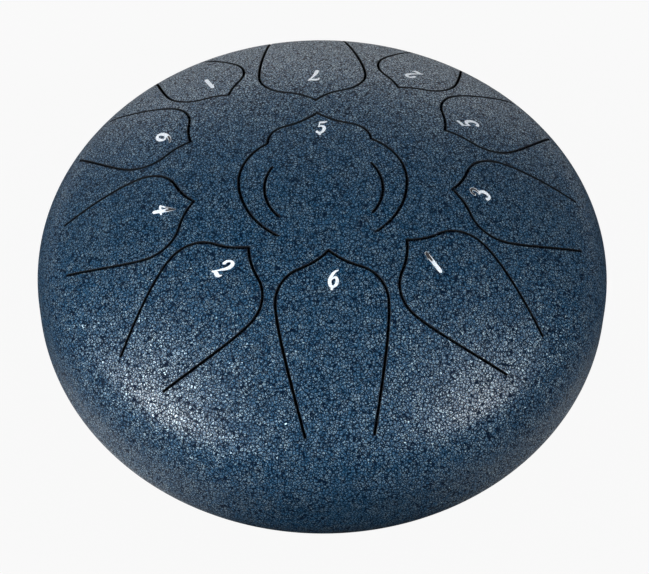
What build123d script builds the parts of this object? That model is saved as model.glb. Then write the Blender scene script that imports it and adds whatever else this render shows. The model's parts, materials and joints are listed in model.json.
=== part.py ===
from build123d import *
from math import acos, asin, cos, degrees, radians, sin, sqrt
from typing import NamedTuple
import os

# Steel tongue drum: two pressed bowls welded rim to rim, eleven tongues cut in the upper one.
# Millimetres. +Z is up, the ground is z = 0, the player sits at -Y.

# Shell, two like pressings
shell_diameter = 254.0
half_height = 66.8
shoulder_radius = 33.3
skirt_height = 4.8
wall = 1.2
weld_depth = 0.7

# Sound port in the base and the feet
port_diameter = 64.0
port_lip_height = 5.0
ground_clearance = 3.5
foot_pitch_radius = 55.0
foot_diameter = 17.0
foot_taper_angle = 8.0
foot_first_angle = 45.0
foot_edge_round = 1.6
pad_diameter = 15.0
pad_thickness = 0.8

# Slits, of one width on a shell of any size
slit_width = 1.1
root_gap = 0.1

# Tongue pattern, drawn for a shell of pattern_diameter and enlarged or reduced with the shell
pattern_diameter = 254.0
flare_radius = 30.0
tip_angle = 45.0
petal_shoulder_radius = 15.5
side_reach = 0.27


class Tongue(NamedTuple):
    """A tongue rooted near the rim, its turn counted clockwise from the back, seen from above."""

    turn: float
    tip_radius: float
    half_width: float
    rim_margin: float
    root_half_width: float


# Rim tongues, by note, each pair mirrored left and right
back_tongue = Tongue(turn=0.0, tip_radius=52.0, half_width=24.0, rim_margin=5.5, root_half_width=15.6)
high_pair = Tongue(turn=30.8, tip_radius=74.3, half_width=18.3, rim_margin=8.0, root_half_width=11.6)
far_pair = Tongue(turn=58.3, tip_radius=65.9, half_width=20.3, rim_margin=10.0, root_half_width=13.2)
side_pair = Tongue(turn=92.0, tip_radius=55.8, half_width=22.4, rim_margin=14.2, root_half_width=13.8)
near_pair = Tongue(turn=132.4, tip_radius=45.4, half_width=24.2, rim_margin=17.4, root_half_width=12.8)
front_tongue = Tongue(turn=180.0, tip_radius=35.8, half_width=23.8, rim_margin=17.0, root_half_width=14.3)

# Lotus tongue in the middle: a small petal over two round lobes, with a pair of tuning arcs
lotus_tip = 42.4
lotus_petal_half_width = 22.5
lotus_petal_shoulder_radius = 10.0
lotus_lobe_half_width = 36.2
lotus_lobe_radius = 24.6
lotus_lobe_side_radius = 36.0
lotus_lobe_back = 2.4
lotus_root = 27.2
tuning_arc_half_width = 25.4
tuning_arc_radius = 22.0
tuning_arc_forward = 3.0
tuning_arc_back_angle = 35.0
tuning_arc_front_angle = 41.0

# Worked out from the sizes above
shell_radius = shell_diameter / 2
shoulder_centre_radius = shell_radius - shoulder_radius
dome_rise = half_height - skirt_height
crown_run = shoulder_centre_radius**2 + dome_rise**2 - shoulder_radius**2
crown_radius = crown_run / (2 * (dome_rise - shoulder_radius))
crown_angle = degrees(asin(shoulder_centre_radius / (crown_radius - shoulder_radius)))
port_radius = port_diameter / 2
port_depth = half_height - crown_radius + sqrt(crown_radius**2 - port_radius**2)
seam_height = ground_clearance + port_depth
pattern_radius = pattern_diameter / 2
pattern_scale = shell_diameter / pattern_diameter
slit_margin = slit_width / 2 / pattern_scale
window_gap = root_gap / pattern_scale

upper_half = Plane(origin=(0, 0, seam_height), x_dir=(1, 0, 0), z_dir=(0, -1, 0))
lower_half = Plane(origin=(0, 0, seam_height), x_dir=(1, 0, 0), z_dir=(0, 1, 0))


def add_half_section(inset, mode=Mode.ADD):
    """Add half of a bowl's section, from the seam to the crown, drawn in by the inset all round."""
    with BuildLine() as outline:
        skirt = Line((shell_radius - inset, 0), (shell_radius - inset, skirt_height))
        shoulder = JernArc(skirt @ 1, skirt % 1, shoulder_radius - inset, 90 - crown_angle)
        crown = TangentArc(shoulder @ 1, (0, half_height - inset), tangent=shoulder % 1)
        Polyline(crown @ 1, (0, 0), skirt @ 0)
    make_face(outline.edges(), mode=mode)


def add_weld_section(mode=Mode.ADD):
    """Add the section of the vee at the seam, which the weld fills flush with the skirts."""
    with BuildLine() as outline:
        Polyline(
            (shell_radius, weld_depth),
            (shell_radius - weld_depth, 0),
            (shell_radius, -weld_depth),
            close=True,
        )
    make_face(outline.edges(), mode=mode)


def add_petal(tip, half_width, shoulder, root, root_half_width, margin):
    """Add a pointed petal along +X: hollow flares at the tip, round shoulders, sides drawn in at the root.

    The margin moves the whole edge outwards, so that two margins bound a slit of even width.
    """
    flare_cos = cos(radians(tip_angle))
    turn = acos((shoulder + flare_radius * flare_cos - half_width) / (shoulder + flare_radius))
    head = shoulder * sin(turn) + flare_radius * (sin(turn) - sin(radians(tip_angle)))
    widest = tip + head
    shoulder_centre = Vector(widest, half_width - shoulder)
    to_flare = Vector(-sin(turn), cos(turn))
    flare_centre = shoulder_centre + to_flare * (shoulder + flare_radius)
    flare = flare_radius - margin
    tip_point = (flare_centre.X + sqrt(flare**2 - flare_centre.Y**2), 0)
    flare_end = shoulder_centre + to_flare * (shoulder + margin)
    side_start = (widest, half_width + margin)
    side_control = (widest + side_reach * (root - widest), half_width + margin)
    root_end = (root, root_half_width + margin)
    with BuildLine() as outline:
        RadiusArc(tip_point, flare_end, -flare)
        RadiusArc(flare_end, side_start, shoulder + margin)
        Bezier(side_start, side_control, root_end)
        Line(root_end, (root, 0))
        mirror(about=Plane.XZ)
    make_face(outline.edges())


def add_lobes(root, margin):
    """Add the two round lobes of the lotus, cut off straight where the small petal covers them."""
    lobe = lotus_lobe_radius + margin
    lobe_centre = Vector(-lotus_lobe_back, lotus_lobe_half_width - lotus_lobe_radius)
    side = lotus_lobe_side_radius + margin
    side_centre = Vector(-lotus_lobe_back, lotus_lobe_half_width - lotus_lobe_side_radius)
    lobe_start = lobe_centre + Vector(-lobe, 0)
    lobe_end = lobe_centre + Vector(0, lobe)
    root_end = (root, side_centre.Y + sqrt(side**2 - (root - side_centre.X) ** 2))
    with BuildLine() as outline:
        Line((lobe_start.X, 0), lobe_start)
        RadiusArc(lobe_start, lobe_end, lobe)
        RadiusArc(lobe_end, root_end, side)
        Line(root_end, (root, 0))
        mirror(about=Plane.XZ)
    make_face(outline.edges())


def add_lotus(root, margin):
    """Add the outline of the middle tongue, tip to the back and root to the front."""
    add_petal(
        -lotus_tip,
        lotus_petal_half_width,
        lotus_petal_shoulder_radius,
        0,
        lotus_petal_half_width,
        margin,
    )
    add_lobes(root, margin)


def add_rim_tongue(tongue, gap, margin):
    """Add the outline of a rim tongue, its root moved towards the rim by the gap."""
    add_petal(
        tongue.tip_radius,
        tongue.half_width,
        petal_shoulder_radius,
        pattern_radius - tongue.rim_margin + gap,
        tongue.root_half_width,
        margin,
    )


def mirrored(tongue):
    """The same tongue on the other side of the drum."""
    return tongue._replace(turn=-tongue.turn)


def tongue_plane(turn):
    """The plane at the seam whose +X runs out to the rim, turned clockwise from the back."""
    return Plane(origin=(0, 0, seam_height)).rotated((0, 0, 90 - turn))


front_plane = tongue_plane(180)
rim_tongues = {
    "tongue_low_6": front_tongue,
    "tongue_low_7": back_tongue,
    "tongue_1": near_pair,
    "tongue_2": mirrored(near_pair),
    "tongue_3": side_pair,
    "tongue_4": mirrored(side_pair),
    "tongue_5": far_pair,
    "tongue_6": mirrored(far_pair),
    "tongue_high_1": mirrored(high_pair),
    "tongue_high_2": high_pair,
}
os.makedirs("parts", exist_ok=True)

# Upper bowl before cutting, which the tongues are also taken from
with BuildPart() as pressing:
    with BuildSketch(upper_half):
        add_half_section(0)
        add_half_section(wall, mode=Mode.SUBTRACT)
        add_weld_section(mode=Mode.SUBTRACT)
    revolve(axis=Axis.Z)

# Upper shell, with a window round every tongue
with BuildPart() as upper_shell:
    add(pressing.part)
    for tongue in rim_tongues.values():
        with BuildSketch(tongue_plane(tongue.turn)):
            add_rim_tongue(tongue, window_gap, slit_margin)
            scale(by=pattern_scale)
        extrude(amount=half_height, mode=Mode.SUBTRACT)
    with BuildSketch(front_plane):
        add_lotus(lotus_root + window_gap, slit_margin)
        scale(by=pattern_scale)
    extrude(amount=half_height, mode=Mode.SUBTRACT)
upper_shell.part.label = "upper_shell"
export_step(upper_shell.part, "parts/upper_shell.step")

# Ten tongues round the rim
for name, tongue in rim_tongues.items():
    with BuildPart() as blade:
        add(pressing.part)
        with BuildSketch(tongue_plane(tongue.turn)):
            add_rim_tongue(tongue, 0, -slit_margin)
            scale(by=pattern_scale)
        extrude(amount=half_height, mode=Mode.INTERSECT)
    blade.part.label = name
    export_step(blade.part, f"parts/{name}.step")

# Lotus tongue, softened by two tuning arcs
tuning_arcs = [
    CenterArc(
        (tuning_arc_forward, side * (tuning_arc_half_width - tuning_arc_radius)),
        tuning_arc_radius,
        side * (90 + tuning_arc_back_angle),
        -side * (tuning_arc_back_angle + tuning_arc_front_angle),
    )
    for side in (1, -1)
]
with BuildPart() as lotus:
    add(pressing.part)
    with BuildSketch(front_plane):
        add_lotus(lotus_root, -slit_margin)
        for arc in tuning_arcs:
            SlotArc(arc, 2 * slit_margin, mode=Mode.SUBTRACT)
        scale(by=pattern_scale)
    extrude(amount=half_height, mode=Mode.INTERSECT)
lotus.part.label = "tongue_low_5"
export_step(lotus.part, "parts/tongue_low_5.step")

# Lower shell, with the port's edge turned inwards
with BuildPart() as lower_shell:
    with BuildSketch(lower_half):
        add_half_section(0)
        add_half_section(wall, mode=Mode.SUBTRACT)
        add_weld_section(mode=Mode.SUBTRACT)
        with Locations((0, port_depth)):
            Rectangle(2 * port_radius, half_height, mode=Mode.SUBTRACT)
        with Locations((port_radius, port_depth)):
            Rectangle(wall, port_lip_height, align=(Align.MIN, Align.MAX))
        add_half_section(0, mode=Mode.INTERSECT)
    revolve(axis=Axis.Z)
lower_shell.part.label = "lower_shell"
export_step(lower_shell.part, "parts/lower_shell.step")

# Weld bead round the seam, ground flush
with BuildPart() as seam_weld:
    with BuildSketch(upper_half):
        add_weld_section()
    revolve(axis=Axis.Z)
seam_weld.part.label = "seam_weld"
export_step(seam_weld.part, "parts/seam_weld.step")

# Rubber feet, their tops hollowed to sit on the dome of the base
foot_names = ["foot_back_right", "foot_back_left", "foot_front_left", "foot_front_right"]
foot_places = PolarLocations(
    foot_pitch_radius,
    len(foot_names),
    start_angle=foot_first_angle,
    rotate=False,
)
for name, place in zip(foot_names, foot_places.local_locations):
    with BuildPart() as foot:
        with BuildSketch(Plane(place)):
            Circle(foot_diameter / 2)
        extrude(amount=seam_height, taper=-foot_taper_angle)
        fillet(foot.faces().sort_by(Axis.Z)[0].edges(), foot_edge_round)
        with BuildSketch(lower_half):
            add_half_section(-pad_thickness)
        revolve(axis=Axis.Z, mode=Mode.SUBTRACT)
    foot.part.label = name
    export_step(foot.part, f"parts/{name}.step")

# Adhesive pads between the feet and the base
with BuildPart() as foot_pads:
    with BuildSketch(Plane.XY):
        with foot_places:
            Circle(pad_diameter / 2)
    extrude(amount=seam_height)
    with BuildSketch(lower_half):
        add_half_section(-pad_thickness)
    revolve(axis=Axis.Z, mode=Mode.INTERSECT)
    with BuildSketch(lower_half):
        add_half_section(0)
    revolve(axis=Axis.Z, mode=Mode.SUBTRACT)
foot_pads.part.label = "foot_pads"
export_step(foot_pads.part, "parts/foot_pads.step")
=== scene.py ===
import json
import math
from typing import NamedTuple

import bpy
import numpy as np
from mathutils import Matrix, Vector
from mathutils.geometry import delaunay_2d_cdt
from mathutils.kdtree import KDTree


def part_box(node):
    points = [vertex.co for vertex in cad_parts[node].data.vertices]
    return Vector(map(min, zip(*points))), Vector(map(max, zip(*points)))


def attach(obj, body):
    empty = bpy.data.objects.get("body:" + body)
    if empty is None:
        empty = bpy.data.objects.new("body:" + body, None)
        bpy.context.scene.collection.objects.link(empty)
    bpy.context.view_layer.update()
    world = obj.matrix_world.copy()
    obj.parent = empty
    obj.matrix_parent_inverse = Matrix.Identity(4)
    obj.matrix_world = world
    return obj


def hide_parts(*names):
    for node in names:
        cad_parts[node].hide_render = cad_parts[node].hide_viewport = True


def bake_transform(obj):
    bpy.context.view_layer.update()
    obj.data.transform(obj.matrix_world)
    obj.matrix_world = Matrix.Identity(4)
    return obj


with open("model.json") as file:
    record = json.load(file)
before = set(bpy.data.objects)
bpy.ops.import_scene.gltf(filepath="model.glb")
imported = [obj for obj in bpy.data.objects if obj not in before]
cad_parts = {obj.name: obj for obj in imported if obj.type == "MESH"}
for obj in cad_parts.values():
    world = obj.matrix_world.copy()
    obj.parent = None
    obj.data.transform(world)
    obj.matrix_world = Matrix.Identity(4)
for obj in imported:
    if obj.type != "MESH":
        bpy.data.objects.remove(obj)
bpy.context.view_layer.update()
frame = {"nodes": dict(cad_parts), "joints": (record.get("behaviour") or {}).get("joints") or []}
mm = 0.001

# Sizes read from the frame
shell_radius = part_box("upper_shell")[1].x
seam_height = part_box("upper_shell")[0].z
half_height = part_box("tongue_low_5")[1].z - seam_height
weld_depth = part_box("seam_weld")[1].z - seam_height
port_edge_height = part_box("lower_shell")[0].z

# Sizes of the pressings that no box gives
shoulder_radius = 33.3 * mm
skirt_height = 4.8 * mm
wall = 1.2 * mm
port_radius = 32.0 * mm
port_lip_height = 5.0 * mm
port_bend = 1.5 * mm
lip_edge_round = 0.4 * mm

# Fineness of the meshes
slit_step = 0.5 * mm
sheet_step = 3.0 * mm
edge_clearance = 0.6 * sheet_step
rim_steps = 480
skin_steps = 60
arc_steps = 5
corner_angle = math.radians(25)
crease_angle = math.radians(35)
same_place = 0.002 * mm
point_merge = 0.000002 * mm
on_the_face = 0.05 * mm

# Numbers that Blender's own calls go by: a kind of triangulation, and the colour sockets of a Mix node
inside_only = 1
mix_share = 0
mix_first = 6
mix_second = 7
mix_result = 2

# Coat rolled over the edges of the slits, which fades out where a tongue joins the shell
edge_round = 0.15 * mm
least_round = 0.01 * mm
round_fade = 1.0 * mm
root_reach = 0.2 * mm

# Number stickers. Dots, pens and the painted dark reflection on some digits are shares of a digit's height.
digit_height = 9.2 * mm
digit_narrowing = 0.82
digit_slant = 0.16
digit_middle = 0.34
foil_thickness = 0.10 * mm
pen_weight = 1.12
pen_steps = 7
pen_sides = 12
drawing_merge = 0.00001
octave_dot = 0.095
dot_across = 0.30
# Painted reflection: a digit's foil is coloured dark above a set height, with a pale edge kept round it
dark_reflection_core = 0.55
no_dark_reflection = 2.0
outside_dark_reflection = -0.3

# Camera, as fitted to the picture. Angles are in degrees, from the front to the right and up.
image_width = 649
image_height = 574
focal_pixels = 2544.85
middle_across = 322.24
middle_down = 275.36
sensor_width = 36
camera_distance = 9 * shell_radius
camera_turn = -4.16
camera_rise = 52.3374
camera_roll = 0.5867

# Floor: where it turns from one shade to the next, and how much of its white each part shows
floor_reach = 20 * shell_radius
# Painted shadow: the floor's white is left out close under the drum, and its matt goes from near black there
# to grey further out
under_drum = (45 * mm, 65 * mm)
painted_shadow_fade = (45 * mm, 400 * mm)
far_floor = (600 * mm, 1500 * mm)
back_floor = (150 * mm, 400 * mm)
# Painted reflections: two floor patches at the front glow only for shiny faces, as if cards stood there
card_side = (40 * mm, 120 * mm)
card_back = (-70 * mm, 30 * mm)
card_end = (400 * mm, 600 * mm)
left_card_share = 0.85
right_card_share = 0.45
paper_white = 0.94
paper_grey = 0.2
shadow_grey = 0.02

# Room: how bright it is as light and in reflections, and the directions in which its parts begin and end
room_light = 0.29
overhead_light = 0.06
mirrored_light = 0.04
mirrored_overhead = 0.2
white_added = 0.645
overhead_rise = (0.3, 0.7)
behind_depth = (0.75, 0.95)
behind_rise = (0.05, 0.3)

# Worked out from the sizes above
shoulder_centre_radius = shell_radius - shoulder_radius
shoulder_centre_height = seam_height + skirt_height
dome_rise = half_height - skirt_height
crown_run = shoulder_centre_radius**2 + dome_rise**2 - shoulder_radius**2
crown_radius = crown_run / (2 * (dome_rise - shoulder_radius))
crown_centre_height = seam_height + half_height - crown_radius
crown_angle = math.asin(shoulder_centre_radius / (crown_radius - shoulder_radius))
crown_length = crown_radius * crown_angle
dome_length = crown_length + shoulder_radius * (math.pi / 2 - crown_angle)
weld_edge_length = dome_length + skirt_height - weld_depth


def meridian(length):
    """Radius, height and tilt of the dome's face at lengths along it from the crown."""
    crown = length < crown_length
    crown_tilt = length / crown_radius
    shoulder_tilt = crown_angle + (length - crown_length) / shoulder_radius
    tilt = np.minimum(np.where(crown, crown_tilt, shoulder_tilt), math.pi / 2)
    bend = np.where(crown, crown_radius, shoulder_radius)
    radius = np.where(crown, 0, shoulder_centre_radius) + bend * np.sin(tilt)
    height = np.where(crown, crown_centre_height, shoulder_centre_height) + bend * np.cos(tilt)
    skirt = np.maximum(length - dome_length, 0)
    return radius, height - skirt, tilt


def face_length(radius):
    """Length along the dome from the crown out to a plan radius."""
    crown_tilt = np.arcsin(np.clip(radius / crown_radius, 0, 1))
    shoulder_tilt = np.arcsin(np.clip((radius - shoulder_centre_radius) / shoulder_radius, 0, 1))
    on_shoulder = crown_length + (shoulder_tilt - crown_angle) * shoulder_radius
    return np.where(crown_tilt < crown_angle, crown_tilt * crown_radius, on_shoulder)


def height_over_face(points):
    """How far points stand off the dome's outer face."""
    radius = np.hypot(points[:, 0], points[:, 1])
    over_crown = np.hypot(radius, points[:, 2] - crown_centre_height) - crown_radius
    out = radius - shoulder_centre_radius
    up = points[:, 2] - shoulder_centre_height
    over_shoulder = np.where(up > 0, np.hypot(out, up) - shoulder_radius, radius - shell_radius)
    crown = np.arctan2(radius, points[:, 2] - crown_centre_height) < crown_angle
    return np.where(crown, over_crown, over_shoulder)


def off_centre(points):
    """How far plan or flat points lie from the drum's middle, and never quite nothing."""
    return np.maximum(np.hypot(points[:, 0], points[:, 1]), same_place)


def unit(ways):
    """Directions in rows, each made one long."""
    return ways / np.linalg.norm(ways, axis=1, keepdims=True)


def to_left(ways):
    """Flat directions turned a quarter to the left."""
    return np.stack([-ways[..., 1], ways[..., 0]], axis=-1)


def circle(steps):
    """Points round a circle of radius one."""
    turn = np.arange(steps) / steps * 2 * math.pi
    return np.column_stack([np.cos(turn), np.sin(turn)])


def flatten(plan):
    """Plan points laid out flat, each as far from the middle as the dome's face is long."""
    radius = off_centre(plan)
    return plan * (face_length(radius) / radius)[:, None]


def face_axes(flat):
    """Unit vectors at flat points: out of the face, down the dome, and round it."""
    length = off_centre(flat)
    way = flat / length[:, None]
    _, _, tilt = meridian(length)
    normal = np.column_stack([way * np.sin(tilt)[:, None], np.cos(tilt)])
    down = np.column_stack([way * np.cos(tilt)[:, None], -np.sin(tilt)])
    around = np.column_stack([to_left(way), np.zeros(len(flat))])
    return normal, down, around


def face_normal(flat):
    """The way out of the dome's face at flat points."""
    normal, _, _ = face_axes(flat)
    return normal


def lift(flat, height):
    """Flat points put back on the dome, standing off its face by a height."""
    length = off_centre(flat)
    radius, level, _ = meridian(length)
    face = np.column_stack([flat * (radius / length)[:, None], level])
    return face + face_normal(flat) * np.reshape(height, (-1, 1))


def along_face(flat, ways):
    """Flat directions at flat points as directions along the dome's face."""
    _, down, around = face_axes(flat)
    outwards = flat / off_centre(flat)[:, None]
    share_down = (ways * outwards).sum(axis=1)
    share_around = (ways * to_left(outwards)).sum(axis=1)
    return down * share_down[:, None] + around * share_around[:, None]


def free_edges(faces):
    """The edges that only one face uses, each in that face's direction."""
    edges = {(int(a), int(b)) for face in faces for a, b in zip(face, np.roll(face, -1))}
    return [(a, b) for a, b in edges if (b, a) not in edges]


def face_loops(node):
    """Plan outlines of a node's outer face, with the metal on the left of each."""
    mesh = frame["nodes"][node].data
    mesh.calc_loop_triangles()
    points = np.array([vertex.co for vertex in mesh.vertices])
    corners = np.array([triangle.vertices for triangle in mesh.loop_triangles])
    places, index = np.unique(np.round(points / same_place), axis=0, return_inverse=True)
    on_face = np.abs(height_over_face(points)) < on_the_face
    faces = index.reshape(-1)[corners[on_face[corners].all(axis=1)]]
    follow = dict(free_edges(faces))
    loops = []
    while follow:
        start, here = follow.popitem()
        loop = [start]
        while here != start:
            loop.append(here)
            here = follow.pop(here)
        loops.append(places[loop, :2] * same_place)
    return loops


def even_loop(loop):
    """The same outline with evenly spaced points, its corners kept."""
    ahead = np.roll(loop, -1, axis=0) - loop
    heading = np.arctan2(ahead[:, 1], ahead[:, 0])
    turn = (heading - np.roll(heading, 1) + math.pi) % (2 * math.pi) - math.pi
    corners = np.flatnonzero(np.abs(turn) > corner_angle)
    corners = corners if len(corners) else np.array([0])
    runs = []
    for first, last in zip(corners, np.roll(corners, -1)):
        count = (last - first - 1) % len(loop) + 1
        run = loop[(first + np.arange(count + 1)) % len(loop)]
        steps = np.linalg.norm(np.diff(run, axis=0), axis=1)
        lengths = np.concatenate([[0], np.cumsum(steps)])
        pieces = max(1, round(lengths[-1] / slit_step))
        marks = np.arange(pieces) / pieces * lengths[-1]
        runs.append(np.column_stack([np.interp(marks, lengths, run[:, axis]) for axis in (0, 1)]))
    return np.concatenate(runs)


def into_metal(loop):
    """For each point of an outline, the step that moves the outline to its left by one."""
    left = to_left(unit(np.roll(loop, -1, axis=0) - loop))
    left_behind = np.roll(left, 1, axis=0)
    return (left + left_behind) / (1 + (left * left_behind).sum(axis=1, keepdims=True))


class Root(NamedTuple):
    """Where a tongue joins the shell: the middle of the line in plan, and the way out of the tongue."""

    place: np.ndarray
    way: np.ndarray
    half_width: float

    def across(self, plan):
        """How far plan points lie past the root, and to the side of its middle."""
        past = (plan - self.place) @ self.way
        aside = (plan - self.place) @ to_left(self.way)
        return past, aside

    def snapped(self, plan):
        """Plan points with those that lie along the root moved onto its line."""
        past, _ = self.across(plan)
        near = np.abs(past) < root_reach
        return plan - np.where(near, past, 0)[:, None] * self.way

    def distance(self, plan):
        """How far plan points are from the joined part of the root."""
        past, aside = self.across(plan)
        return np.hypot(past, np.maximum(np.abs(aside) - self.half_width, 0))


class Rim(NamedTuple):
    """An edge of a sheet: its flat outline on the face, and the rings that go round it to the back."""

    outline: np.ndarray
    rings: list


def slit_rim(plan, root):
    """The edge of a slit, its coat rolled over except where the tongue joins the shell."""
    loop = even_loop(root.snapped(plan))
    fade = np.clip(root.distance(loop) / round_fade, 0, 1)
    roll = least_round + (edge_round - least_round) * fade
    flat = flatten(loop)
    inwards = into_metal(flat)
    sideways = unit(along_face(flat, -inwards))
    rings = []
    for angle in (math.pi / 4, math.pi / 2):
        ring = flat + inwards * (roll * (1 - math.sin(angle)))[:, None]
        normal = face_normal(ring) * math.cos(angle) + sideways * math.sin(angle)
        rings.append((lift(ring, -roll * (1 - math.cos(angle))), normal))
    rings.append((lift(flat, -wall), sideways))
    return Rim(flat + inwards * roll[:, None], rings)


def seam_rim():
    """The shell's edge above the weld, bevelled for it and cut level at the seam."""
    way = circle(rim_steps)
    level = np.full(rim_steps, seam_height)
    downwards = np.tile((0.0, 0.0, -1.0), (rim_steps, 1))
    rings = []
    for depth in (weld_depth, wall):
        rings.append((np.column_stack([way * (shell_radius - depth), level]), downwards))
    return Rim(way * weld_edge_length, rings)


def filling_points(outlines):
    """Evenly staggered points over the flat area, clear of the outlines."""
    edge = np.concatenate(outlines)
    tree = KDTree(len(edge))
    for index, point in enumerate(edge):
        tree.insert((*point, 0), index)
    tree.balance()
    low, high = edge.min(axis=0), edge.max(axis=0)
    rows = np.arange(low[1], high[1], sheet_step * math.sqrt(3) / 2)
    columns = np.arange(low[0], high[0], sheet_step)
    points = [(x + sheet_step / 2 * (row % 2), y) for row, y in enumerate(rows) for x in columns]
    return [point for point in points if tree.find((*point, 0))[2] > edge_clearance]


def new_piece(name, points, faces, normals=None):
    """A smooth-shaded mesh object, with its own normals where they are given."""
    mesh = bpy.data.meshes.new(name)
    mesh.from_pydata([tuple(point) for point in points], [], faces)
    mesh.shade_smooth()
    if normals is None:
        mesh.set_sharp_from_angle(angle=crease_angle)
    else:
        mesh.normals_split_custom_set_from_vertices(unit(normals).tolist())
    piece = bpy.data.objects.new(name, mesh)
    bpy.context.scene.collection.objects.link(piece)
    return piece


def listed(outlines):
    """The numbers of each outline's points, when the points of all are listed in a row."""
    starts = np.cumsum([0] + [len(outline) for outline in outlines])
    return [list(range(a, b)) for a, b in zip(starts, starts[1:])]


def filled(outlines):
    """Points and triangles inside the first outline and outside the others, and where each outline runs."""
    loops = listed(outlines)
    shapes = [loops[0]] + [loop[::-1] for loop in loops[1:]]
    corners = [Vector(point) for point in [*np.concatenate(outlines), *filling_points(outlines)]]
    found = delaunay_2d_cdt(corners, [], shapes, inside_only, point_merge)
    flat, _, triangles, sources, _, owners = found
    triangles = [triangle for triangle, owner in zip(triangles, owners) if owner == [0]]
    used = sorted({corner for triangle in triangles for corner in triangle})
    order = {corner: index for index, corner in enumerate(used)}
    triangles = [[order[corner] for corner in triangle] for triangle in triangles]
    place_of = {source: index for index, group in enumerate(sources) for source in group}
    edges = [[order[place_of[source]] for source in loop] for loop in loops]
    return np.array(flat)[used], triangles, edges


def strip(upper, lower):
    """Faces between two rows of points that go round side by side."""
    faces = []
    for step in range(len(upper)):
        after = (step + 1) % len(upper)
        faces.append([upper[after], upper[step], lower[step], lower[after]])
    return faces


def steel_sheet(name, rims):
    """A piece of the dome, a wall thick, inside its first rim and outside the others."""
    flat, triangles, edges = filled([rim.outline for rim in rims])
    count = len(flat)
    normal = face_normal(flat)
    points = [lift(flat, 0), lift(flat, -wall)]
    normals = [normal, -normal]
    faces = triangles + [[corner + count for corner in triangle[::-1]] for triangle in triangles]
    total = 2 * count
    for rim, edge in zip(rims, edges):
        rows = [edge]
        for ring_points, ring_normals in rim.rings:
            points.append(ring_points)
            normals.append(ring_normals)
            rows.append(range(total, total + len(edge)))
            total += len(edge)
        rows.append([corner + count for corner in edge])
        for upper, lower in zip(rows, rows[1:]):
            faces += strip(upper, lower)
    piece = new_piece(name, np.concatenate(points), faces, np.concatenate(normals))
    piece.data.materials.append(coat)
    piece.data.materials.append(shade_steel)
    # Painted shade: the inner face, the rolled edges and the slits' walls take near-black steel for the
    # shade inside the drum
    shaded = np.arange(len(faces)) >= len(triangles)
    piece.data.polygons.foreach_set("material_index", shaded.astype(np.int32))
    return piece


def lathe(name, profile):
    """A closed profile of radius and height, its outside listed downwards, turned about the drum's axis."""
    ring = circle(rim_steps)
    points = [(radius * x, radius * y, height) for radius, height in profile for x, y in ring]
    rows = [range(first, first + rim_steps) for first in range(0, len(points), rim_steps)]
    faces = []
    for upper, lower in zip(rows, [*rows[1:], rows[0]]):
        faces += strip(upper, lower)
    return new_piece(name, points, faces)


def rounded(corner, before, after, radius):
    """Points of the arc that rounds a corner of a profile."""
    corner = Vector(corner)
    back = (Vector(before) - corner).normalized()
    ahead = (Vector(after) - corner).normalized()
    half = back.angle(ahead) / 2
    centre = corner + (back + ahead).normalized() * radius / math.sin(half)
    start = corner + back * radius / math.tan(half) - centre
    end = corner + ahead * radius / math.tan(half) - centre
    sweep = math.pi - 2 * half
    arc = []
    for angle in np.linspace(0, sweep, arc_steps + 1):
        spoke = start * math.sin(sweep - angle) + end * math.sin(angle)
        arc.append(tuple(centre + spoke / math.sin(sweep)))
    return arc


def lower_shell_profile():
    """Section of the lower shell: skin, port bend, turned-in lip, and back up the inside to the seam."""
    bend_radius = port_radius + wall + 2 * port_bend
    lengths = np.linspace(face_length(bend_radius), weld_edge_length, skin_steps)
    radius, height, tilt = meridian(lengths)
    height = 2 * seam_height - height
    skin = list(zip(radius, height))
    inside = list(zip(radius - wall * np.sin(tilt), height + wall * np.cos(tilt)))
    lip_top = port_edge_height + port_lip_height
    bend = rounded((port_radius, port_edge_height), skin[0], (port_radius, lip_top), port_bend)
    throat_corner = (port_radius + wall, inside[0][1] - wall)
    throat = rounded(throat_corner, (port_radius + wall, lip_top), inside[0], lip_edge_round)
    lip_corners = [(port_radius, lip_top), (port_radius + wall, lip_top)]
    lip = rounded(lip_corners[0], bend[-1], lip_corners[1], lip_edge_round)
    lip += rounded(lip_corners[1], lip_corners[0], throat[0], lip_edge_round)
    seam = [(shell_radius - wall, seam_height), (shell_radius - weld_depth, seam_height)]
    return skin[::-1] + bend + lip + throat + inside + seam


def weld_profile():
    """Section of the weld bead, which fills the vee at the seam."""
    return [
        (shell_radius, seam_height + weld_depth),
        (shell_radius, seam_height - weld_depth),
        (shell_radius - weld_depth, seam_height),
    ]


class Value:
    """A value that varies over a surface. Arithmetic on it adds Math nodes."""

    def __init__(self, finish, socket):
        self.finish = finish
        self.socket = socket

    def math(self, operation, *values):
        """A Math node with its values in order."""
        return self.finish.node("ShaderNodeMath", {"operation": operation}, dict(enumerate(values)))

    def __add__(self, other):
        return self.math("ADD", self, other)

    def __sub__(self, other):
        return self.math("SUBTRACT", self, other)

    def __rsub__(self, other):
        return self.math("SUBTRACT", other, self)

    def __mul__(self, other):
        return self.math("MULTIPLY", self, other)

    __radd__ = __add__
    __rmul__ = __mul__

    def step(self, low, high):
        """0 below low and 1 above high, smooth between them."""
        settings = {"interpolation_type": "SMOOTHSTEP"}
        sockets = {"Value": self, "From Min": low, "From Max": high}
        return self.finish.node("ShaderNodeMapRange", settings, sockets)


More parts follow.
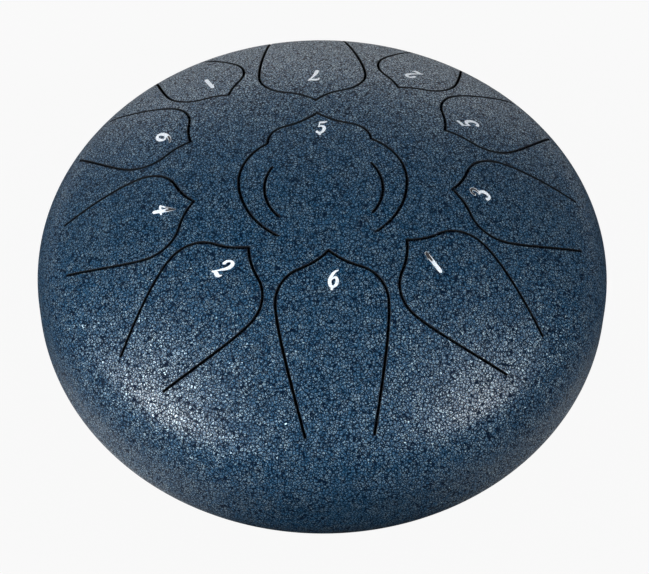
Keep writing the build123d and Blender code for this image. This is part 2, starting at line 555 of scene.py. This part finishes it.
class Finish:
    """A material, or the world, and the nodes that make its look."""

    def __init__(self, name, shelf=bpy.data.materials):
        self.owner = shelf.new(name)
        self.owner.use_nodes = True
        self.tree = self.owner.node_tree
        self.tree.nodes.clear()

    def node(self, kind, settings, sockets, output=0):
        """Add a node, set it, fill or link its sockets, and return one of its outputs."""
        node = self.tree.nodes.new(kind)
        for name, setting in settings.items():
            setattr(node, name, setting)
        for key, value in sockets.items():
            if isinstance(value, Value):
                self.tree.links.new(value.socket, node.inputs[key])
            else:
                node.inputs[key].default_value = value
        return Value(self, node.outputs[output]) if node.outputs else None

    def place(self):
        """Where a point lies on the piece, in metres."""
        return self.node("ShaderNodeTexCoord", {}, {}, "Object")

    def vector(self, operation, *values, output=0):
        """A Vector Math node with its values in order."""
        return self.node("ShaderNodeVectorMath", {"operation": operation}, dict(enumerate(values)), output)

    def along(self, vector, axis):
        """How far a vector goes along one axis."""
        return self.node("ShaderNodeSeparateXYZ", {}, {0: vector}, axis)

    def noise(self, place, size, detail=2.0, output=0):
        """Cloudy noise whose patches are about a size across."""
        sockets = {"Vector": place, "Scale": 1 / size, "Detail": detail}
        return self.node("ShaderNodeTexNoise", {}, sockets, output)

    def cells(self, place, size, feature, output):
        """Cells about a size across: their edges' distance, or something that each cell has of its own."""
        sockets = {"Vector": place, "Scale": 1 / size}
        return self.node("ShaderNodeTexVoronoi", {"feature": feature}, sockets, output)

    def cell_tilt(self, place, size, steepness):
        """Heights of cells that each lean their own way."""
        middle = self.cells(place, size, "F1", "Position")
        lean = self.vector("SUBTRACT", self.cells(place, size, "F1", "Color"), (0.5, 0.5, 0.5))
        off = self.vector("SUBTRACT", place, middle)
        return self.vector("DOT_PRODUCT", lean, off, output="Value") * steepness

    def strayed(self, place, size, amount):
        """Places moved about by noise, so that what is drawn there is uneven."""
        stray = self.noise(place, size, output="Color")
        return self.vector("MULTIPLY_ADD", stray, (amount,) * 3, place)

    def mix(self, share, first, second):
        """The first colour, or the second where the share is 1."""
        sockets = {mix_share: share, mix_first: first, mix_second: second}
        return self.node("ShaderNodeMix", {"data_type": "RGBA"}, sockets, mix_result)

    def bump(self, height, distance):
        """The face's normal, leaning as the heights do."""
        return self.node("ShaderNodeBump", {}, {"Height": height, "Distance": distance})

    def rays(self):
        """1 for rays seen straight or through something clear, and 1 for rays off a shiny face."""
        kinds = ("Is Camera Ray", "Is Transmission Ray", "Is Glossy Ray")
        seen, through, mirrored = [self.node("ShaderNodeLightPath", {}, {}, kind) for kind in kinds]
        return seen + through, mirrored

    def matt(self, grey):
        """A dull grey surface."""
        return self.node("ShaderNodeBsdfDiffuse", {}, {"Color": (grey, grey, grey, 1)})

    def either(self, share, first, second):
        """The first surface, or the second where the share is 1."""
        return self.node("ShaderNodeMixShader", {}, dict(enumerate([share, first, second])))

    def covered(self, surface):
        """The material, with this surface."""
        self.node("ShaderNodeOutputMaterial", {}, {"Surface": surface})
        return self.owner

    def done(self, sockets):
        """The material, with a Principled surface."""
        return self.covered(self.node("ShaderNodeBsdfPrincipled", {}, sockets))


def navy_wrinkle_coat():
    """Navy coat: islands with silver flecks that catch the lamps, navy painted darker where the grain is low
    as painted shade, and hair cracks between.
    """
    finish = Finish("navy_wrinkle_coat")
    navy = (0.0003, 0.062, 0.144, 1)
    # Painted shade: the navy goes near black in the hollows of the grain
    hollow_shade_navy = (0.0003, 0.005, 0.016, 1)
    crack_navy = (0.0003, 0.006, 0.019, 1)
    silver = (0.34, 0.46, 0.53, 1)
    clumping = 0.25
    island_height = 0.04 * mm
    grain_height = 0.06 * mm
    gloss = 0.50
    fleck_gloss = 0.12
    place = finish.place()
    grain = finish.noise(place, size=0.38 * mm, detail=1.0)
    clump = finish.noise(place, size=4 * mm, detail=1.0)
    fleck = (grain + clump * clumping).step(low=0.685, high=0.765)
    bent = finish.strayed(place, size=1.3 * mm, amount=0.5 * mm)
    edge = finish.cells(bent, size=1.4 * mm, feature="DISTANCE_TO_EDGE", output="Distance")
    island = edge.step(low=0.05, high=0.17)
    # Painted shade: where the grain's bump is low, the navy turns near black as shade in its hollows
    shaded_ground = finish.mix(grain.step(low=0.37, high=0.47), hollow_shade_navy, navy)
    flecked = finish.mix(fleck, shaded_ground, silver)
    facets = finish.cell_tilt(place, size=0.45 * mm, steepness=0.6)
    relief = facets + island * island_height + grain * grain_height
    return finish.done(
        {
            "Base Color": finish.mix(island, crack_navy, flecked),
            "Metallic": island * fleck,
            "Roughness": 0.38,
            "Specular IOR Level": 0.05,
            "Coat Weight": island * (gloss + fleck * fleck_gloss),
            "Coat Roughness": 0.36,
            "Coat IOR": 1.7,
            "Normal": finish.bump(relief, distance=1.0),
        }
    )


def painted_shade_steel():
    """Near-black steel inside the drum, over the rolled edges and down the walls of the slits: a dark
    surface painted there as the shade within the drum.
    """
    finish = Finish("painted_shade_steel")
    dark_scale = (0.004, 0.006, 0.009, 1)
    light_scale = (0.015, 0.018, 0.023, 1)
    scale = finish.noise(finish.place(), size=1.5 * mm, detail=3.0)
    return finish.done(
        {
            "Base Color": finish.mix(scale, dark_scale, light_scale),
            "Metallic": 0.6,
            "Roughness": 0.55 + scale * 0.25,
            "Normal": finish.bump(scale, distance=0.04 * mm),
        }
    )


def number_foil():
    """Pale satin foil, a little rippled where it was rubbed down, and painted dark above a height as a dark
    reflection.
    """
    finish = Finish("number_foil")
    grey_foil = (0.50, 0.57, 0.65, 1)
    white_foil = (0.88, 0.92, 0.96, 1)
    dark_reflected_foil = (0.035, 0.032, 0.032, 1)
    middle_speck = 0.5
    ragged_edge = 0.2
    place = finish.place()
    ripple = finish.noise(place, size=3 * mm)
    speck = finish.noise(place, size=0.4 * mm)
    # Painted reflection: the upper part of some digits is coloured near black for the dark that the foil
    # mirrors
    dark_reflection = finish.node("ShaderNodeAttribute", {"attribute_name": "dark_reflection"}, {}, "Fac")
    dark_reflection_mask = (dark_reflection + (speck - middle_speck) * ragged_edge).step(low=0.0, high=0.08)
    pale = finish.mix(speck.step(low=0.35, high=0.65), grey_foil, white_foil)
    return finish.done(
        {
            "Base Color": finish.mix(dark_reflection_mask, pale, dark_reflected_foil),
            "Specular IOR Level": 0.2,
            "Roughness": 0.45 + speck * 0.2,
            "Normal": finish.bump(ripple, distance=0.15 * mm),
        }
    )


def foot_rubber():
    """Matt black moulded rubber with a fine spark-eroded grain and a little dust."""
    finish = Finish("foot_rubber")
    black = (0.014, 0.014, 0.015, 1)
    dusty = (0.032, 0.031, 0.030, 1)
    place = finish.place()
    grain = finish.noise(place, size=0.35 * mm)
    dust = finish.noise(place, size=4 * mm).step(low=0.45, high=0.75)
    return finish.done(
        {
            "Base Color": finish.mix(dust, black, dusty),
            "Roughness": 0.62 + grain * 0.25,
            "Normal": finish.bump(grain, distance=0.05 * mm),
        }
    )


def pad_foam():
    """Dark grey closed-cell foam of the adhesive pads."""
    finish = Finish("pad_foam")
    bubble_grey = (0.11, 0.11, 0.115, 1)
    wall_grey = (0.05, 0.05, 0.052, 1)
    bubbles = finish.cells(finish.place(), size=0.35 * mm, feature="F1", output="Distance")
    return finish.done(
        {
            "Base Color": finish.mix(bubbles.step(low=0.1, high=0.6), bubble_grey, wall_grey),
            "Roughness": 0.85 + bubbles * 0.1,
            "Normal": finish.bump(bubbles, distance=0.08 * mm),
        }
    )


# Materials of the pieces
coat = navy_wrinkle_coat()
# The near-black steel is painted shade for the drum's inside and its slits
shade_steel = painted_shade_steel()
foil = number_foil()
rubber = foot_rubber()
foam = pad_foam()


def spread(loop):
    """How wide or long an outline is, whichever is more."""
    return np.ptp(loop, axis=0).max()


def tongue_root(joint, outline):
    """The root of a tongue, on its joint's axis and as wide as its outline is there."""
    axis = joint["axis"]
    root = Root(np.array(joint["pos_m"][:2]), np.array([axis[1], -axis[0]]), 0.0)
    past, aside = root.across(outline)
    return root._replace(half_width=np.abs(aside[np.abs(past) < root_reach]).max())


# Tongues, each cut from the dome and meeting the shell at its root
roots = {}
tongue_flats = {}
for joint in frame["joints"]:
    tongue = joint["child"]
    loops = sorted(face_loops(tongue), key=spread, reverse=True)
    root = tongue_root(joint, loops[0])
    roots[tongue] = root
    tongue_flats[tongue] = flatten(loops[0])
    piece = steel_sheet(f"{tongue}_coated", [slit_rim(loop, root) for loop in loops])
    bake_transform(piece)
    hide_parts(tongue)

# Upper shell, with its windows matched to the roots that they end at
windows = [loop for loop in face_loops("upper_shell") if np.hypot(*loop.T).max() < shell_radius - wall]
window_rims = []
for window in windows:
    nearest = min(roots.values(), key=lambda root: root.distance(window).min())
    window_rims.append(slit_rim(window, nearest))
upper_shell = steel_sheet("upper_shell_coated", [seam_rim(), *window_rims])
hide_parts("upper_shell")

# Lower shell and weld, both turned about the axis
lower_shell = lathe("lower_shell_coated", lower_shell_profile())
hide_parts("lower_shell")
weld = lathe("seam_weld_coated", weld_profile())
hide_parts("seam_weld")
for piece in (lower_shell, weld):
    piece.data.materials.append(coat)
for piece in (upper_shell, lower_shell, weld):
    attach(piece, "drum")

# Feet and pads keep their own solids
for name, node in frame["nodes"].items():
    if name.startswith("foot_"):
        node.data.materials.clear()
        node.data.materials.append(foam if name == "foot_pads" else rubber)

# Digits as pen strokes: across, up, and half the pen's width, on a height of one
digit_strokes = {
    "1": [
        [(0.28, 0.76, 0.02), (0.40, 0.86, 0.05), (0.50, 0.98, 0.06)],
        [(0.48, 0.98, 0.10), (0.45, 0.50, 0.11), (0.42, 0.00, 0.11)],
    ],
    "2": [
        [
            (0.14, 0.70, 0.085),
            (0.17, 0.86, 0.07),
            (0.34, 0.96, 0.055),
            (0.53, 0.89, 0.09),
            (0.57, 0.70, 0.105),
            (0.45, 0.48, 0.075),
            (0.24, 0.25, 0.04),
            (0.08, 0.07, 0.035),
        ],
        [
            (0.06, 0.05, 0.045),
            (0.20, 0.11, 0.07),
            (0.38, 0.07, 0.09),
            (0.54, 0.05, 0.075),
            (0.64, 0.17, 0.025),
        ],
    ],
    "3": [
        [
            (0.12, 0.80, 0.08),
            (0.22, 0.93, 0.055),
            (0.41, 0.93, 0.075),
            (0.51, 0.79, 0.095),
            (0.43, 0.62, 0.065),
            (0.26, 0.54, 0.035),
        ],
        [
            (0.26, 0.54, 0.035),
            (0.46, 0.48, 0.07),
            (0.55, 0.28, 0.105),
            (0.43, 0.08, 0.08),
            (0.24, 0.03, 0.055),
            (0.09, 0.14, 0.085),
        ],
    ],
    "4": [
        [(0.47, 0.98, 0.05), (0.28, 0.64, 0.045), (0.06, 0.32, 0.04)],
        [(0.06, 0.30, 0.05), (0.35, 0.29, 0.055), (0.68, 0.31, 0.05)],
        [(0.48, 0.98, 0.055), (0.46, 0.55, 0.10), (0.44, 0.00, 0.105)],
    ],
    "5": [
        [(0.20, 0.93, 0.06), (0.40, 0.92, 0.075), (0.64, 0.97, 0.05)],
        [(0.21, 0.95, 0.04), (0.17, 0.75, 0.04), (0.14, 0.55, 0.04)],
        [
            (0.14, 0.55, 0.04),
            (0.34, 0.61, 0.065),
            (0.51, 0.50, 0.095),
            (0.54, 0.28, 0.105),
            (0.42, 0.08, 0.08),
            (0.22, 0.02, 0.06),
            (0.08, 0.12, 0.085),
        ],
    ],
    "6": [
        [
            (0.60, 0.98, 0.03),
            (0.38, 0.88, 0.07),
            (0.18, 0.64, 0.10),
            (0.10, 0.36, 0.115),
            (0.18, 0.10, 0.09),
            (0.36, 0.02, 0.065),
            (0.55, 0.13, 0.095),
            (0.61, 0.34, 0.105),
            (0.51, 0.54, 0.07),
            (0.36, 0.55, 0.05),
            (0.22, 0.44, 0.03),
        ]
    ],
    "7": [
        [
            (0.06, 0.76, 0.02),
            (0.10, 0.90, 0.06),
            (0.30, 0.93, 0.08),
            (0.50, 0.91, 0.07),
            (0.68, 0.96, 0.04),
        ],
        [(0.66, 0.95, 0.04), (0.47, 0.62, 0.06), (0.33, 0.30, 0.10), (0.28, 0.02, 0.115)],
    ],
}


class Sticker(NamedTuple):
    """A number on a tongue: the digit, how far its middle is from the tip and off the middle line, whether
    a dot lies under it, and the height above which its foil is painted dark as a reflection."""

    tongue: str
    digit: str
    setback: float
    aside: float = 0.0
    dotted: bool = False
    dark_reflection_from: float = no_dark_reflection


# Digits given a height are painted dark above it, as a dark reflection in their foil
stickers = [
    Sticker("tongue_low_5", "5", setback=10.3 * mm, aside=1.2 * mm, dotted=True),
    Sticker("tongue_low_6", "6", setback=13.2 * mm, aside=1.1 * mm, dotted=True),
    Sticker("tongue_low_7", "7", setback=20.7 * mm, aside=-1.1 * mm),
    Sticker("tongue_1", "1", setback=13.9 * mm, aside=-0.8 * mm, dark_reflection_from=0.52),
    Sticker("tongue_2", "2", setback=12.9 * mm, aside=-1.8 * mm),
    Sticker("tongue_3", "3", setback=12.0 * mm, aside=0.7 * mm, dark_reflection_from=0.54),
    Sticker("tongue_4", "4", setback=12.6 * mm, aside=-0.2 * mm, dark_reflection_from=0.50),
    Sticker("tongue_5", "5", setback=14.3 * mm, aside=0.8 * mm),
    Sticker("tongue_6", "6", setback=13.8 * mm, aside=-0.4 * mm, dark_reflection_from=0.58),
    Sticker("tongue_high_1", "1", setback=16.7 * mm, aside=-0.6 * mm),
    Sticker("tongue_high_2", "2", setback=16.8 * mm),
]


def pen_path(stroke):
    """A smooth run of pen places through a stroke's points."""
    points = np.array([stroke[0], *stroke, stroke[-1]])
    path = []
    for before, start, end, after in zip(points, points[1:], points[2:], points[3:]):
        for share in np.arange(pen_steps) / pen_steps:
            bend = (end - before) * share + (2 * before - 5 * start + 4 * end - after) * share**2
            bend = bend + (3 * start - before - 3 * end + after) * share**3
            path.append(start + bend / 2)
    return np.array([*path, points[-1]])


def round_mark(pen):
    """A round dot of the pen."""
    return list(pen[:2] + pen[2] * circle(pen_sides))


def pen_marks(stroke, weight):
    """The shapes that a stroke leaves: a four-sided one for each step of the pen, and its round ends."""
    path = pen_path(stroke) * (1, 1, weight)
    middle = path[:, :2]
    side = to_left(unit(np.gradient(middle, axis=0))) * path[:, 2:]
    left = middle + side
    right = middle - side
    marks = list(zip(right, right[1:], left[1:], left))
    return marks + [round_mark(path[0]), round_mark(path[-1])]


def drawing(sticker):
    """Points and faces of a digit drawn flat by pen, twice so that its core, painted dark as a reflection,
    has points of its own.
    """
    strokes = digit_strokes[sticker.digit]
    weights = (pen_weight, pen_weight * dark_reflection_core)
    marks = [mark for weight in weights for stroke in strokes for mark in pen_marks(stroke, weight)]
    if sticker.dotted:
        marks.append(round_mark((dot_across, -octave_dot, octave_dot)))
    corners = [Vector(corner) for mark in marks for corner in mark]
    found = delaunay_2d_cdt(corners, [], listed(marks), inside_only, drawing_merge)
    points, _, faces, _, _, owners = found
    inked = [face for face, owner in zip(faces, owners) if owner]
    return np.array(points), inked


def on_tongue(sticker, drawn):
    """Drawn points laid on the flat dome, with the digit's top towards the tongue's tip."""
    foot = -2 * octave_dot if sticker.dotted else 0
    size = digit_height / (1 - foot)
    up = (drawn[:, 1] - (1 + foot) / 2) * size
    across = digit_narrowing * (drawn[:, 0] - digit_middle) * size + digit_slant * up + sticker.aside
    way = roots[sticker.tongue].way
    tip = (tongue_flats[sticker.tongue] @ way).min()
    middle = way * (tip + sticker.setback)
    return middle - way * up[:, None] + to_left(way) * across[:, None]


def number_sticker(sticker):
    """A digit of foil on a tongue, painted dark above a height as a reflection, but for its edge."""
    drawn, inked = drawing(sticker)
    flat = on_tongue(sticker, drawn)
    count = len(flat)
    rim = free_edges(inked)
    sides = [[b, a, a + count, b + count] for a, b in rim]
    under = [[corner + count for corner in face[::-1]] for face in inked]
    points = np.concatenate([lift(flat, foil_thickness), lift(flat, 0)])
    normal = face_normal(flat)
    faces = inked + sides + under
    piece = new_piece(f"number_{sticker.tongue}", points, faces, np.concatenate([normal, normal]))
    # Painted reflection: points above the set height are coloured dark, while the rim and underside stay
    # pale
    height = drawn[:, 1] - sticker.dark_reflection_from
    height[np.ravel(rim)] = outside_dark_reflection
    dark_reflection = piece.data.attributes.new("dark_reflection", "FLOAT", "POINT")
    dark_reflection.data.foreach_set("value", np.concatenate([height, np.full(count, outside_dark_reflection)]))
    piece.data.materials.append(foil)
    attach(piece, sticker.tongue)


for sticker in stickers:
    number_sticker(sticker)


def aimed(name, data, turn, rise, distance):
    """A camera or lamp that looks at the drum from an angle turned to the right and raised, in degrees."""
    turn, rise = math.radians(turn), math.radians(rise)
    way = Vector((math.sin(turn) * math.cos(rise), -math.cos(turn) * math.cos(rise), math.sin(rise)))
    stand = bpy.data.objects.new(name, data)
    stand.rotation_mode = "QUATERNION"
    stand.location = Vector((0, 0, seam_height)) + way * distance
    stand.rotation_quaternion = (-way).to_track_quat("-Z", "Y")
    bpy.context.scene.collection.objects.link(stand)
    return stand


def place_camera():
    """The camera at the viewing angle of the picture."""
    camera = bpy.data.cameras.new("camera")
    camera.sensor_width = sensor_width
    camera.lens = focal_pixels / image_width * sensor_width
    camera.shift_x = 0.5 - middle_across / image_width
    camera.shift_y = (middle_down - image_height / 2) / image_width
    viewer = aimed("camera", camera, camera_turn, camera_rise, camera_distance)
    roll = Matrix.Rotation(math.radians(camera_roll), 3, "Z").to_quaternion()
    viewer.rotation_quaternion = viewer.rotation_quaternion @ roll
    bpy.context.scene.camera = viewer


def softbox(name, turn, rise, distance, width, height, watts):
    """A soft lamp aimed at the drum."""
    lamp = bpy.data.lights.new(name, "AREA")
    lamp.shape = "RECTANGLE"
    lamp.size = width
    lamp.size_y = height
    lamp.energy = watts
    aimed(name, lamp, turn, rise, distance)


def white_paper():
    """White paper with a painted shadow close under the drum. Shiny faces see its far parts, and two patches
    at the front that glow only in reflections, as painted reflections of cards.
    """
    finish = Finish("white_paper")
    place = finish.place()
    away = finish.vector("LENGTH", place, output="Value")
    right = finish.along(place, "X")
    back = finish.along(place, "Y")
    seen, mirrored = finish.rays()
    # Painted reflections: these patches glow only for shiny faces, standing in for cards at the front
    card_reflections = (0 - right).step(*card_side) * left_card_share + right.step(*card_side) * right_card_share
    near_front = (1 - back.step(*card_back)) * (1 - away.step(*card_end))
    lit = away.step(*far_floor) + back.step(*back_floor) + card_reflections * near_front
    shown = seen * away.step(*under_drum) + mirrored * lit
    # Painted shadow: the paper's matt grey falls to near black close under the drum
    shade = finish.either(away.step(*painted_shadow_fade), finish.matt(shadow_grey), finish.matt(paper_grey))
    white = finish.node("ShaderNodeEmission", {}, {"Color": (1, 1, 1, 1)})
    paper = finish.either(shown * paper_white, shade, white)
    from_below = finish.node("ShaderNodeNewGeometry", {}, {}, "Backfacing")
    clear = finish.node("ShaderNodeBsdfTransparent", {}, {})
    return finish.covered(finish.either(from_below, paper, clear))


def lay_floor():
    """A wide sheet of paper under the drum."""
    signs = ((-1, -1), (1, -1), (1, 1), (-1, 1))
    mesh = bpy.data.meshes.new("floor")
    mesh.from_pydata([(x * floor_reach, y * floor_reach, 0) for x, y in signs], [], [(0, 1, 2, 3)])
    mesh.materials.append(white_paper())
    sheet = bpy.data.objects.new("floor", mesh)
    bpy.context.scene.collection.objects.link(sheet)


def dim_room():
    """A dim room round the lamps, white where it is seen, and low down at the back also in reflections."""
    finish = Finish("studio", bpy.data.worlds)
    way = finish.node("ShaderNodeTexCoord", {}, {}, "Generated")
    back = finish.along(way, "Y")
    rise = finish.along(way, "Z")
    seen, mirrored = finish.rays()
    overhead = rise.step(*overhead_rise)
    behind = back.step(*behind_depth) * (1 - rise.step(*behind_rise))
    soft = room_light + overhead * overhead_light
    in_mirrors = mirrored_light + overhead * mirrored_overhead
    strength = soft + mirrored * (in_mirrors - soft) + (seen + mirrored * behind) * white_added
    room = finish.node("ShaderNodeBackground", {}, {"Color": (1, 1, 1, 1), "Strength": strength})
    finish.node("ShaderNodeOutputWorld", {}, {"Surface": room})
    return finish.owner


# Studio
place_camera()
softbox("left_softbox", turn=-64, rise=32, distance=1.2, width=0.55, height=0.45, watts=16.2)
softbox("right_softbox", turn=58, rise=37, distance=1.2, width=0.4, height=0.35, watts=8.5)
softbox("back_strip", turn=178, rise=5, distance=1.1, width=1.2, height=0.2, watts=1.8)
lay_floor()
bpy.context.scene.world = dim_room()
bpy.context.scene.view_settings.view_transform = "Standard"
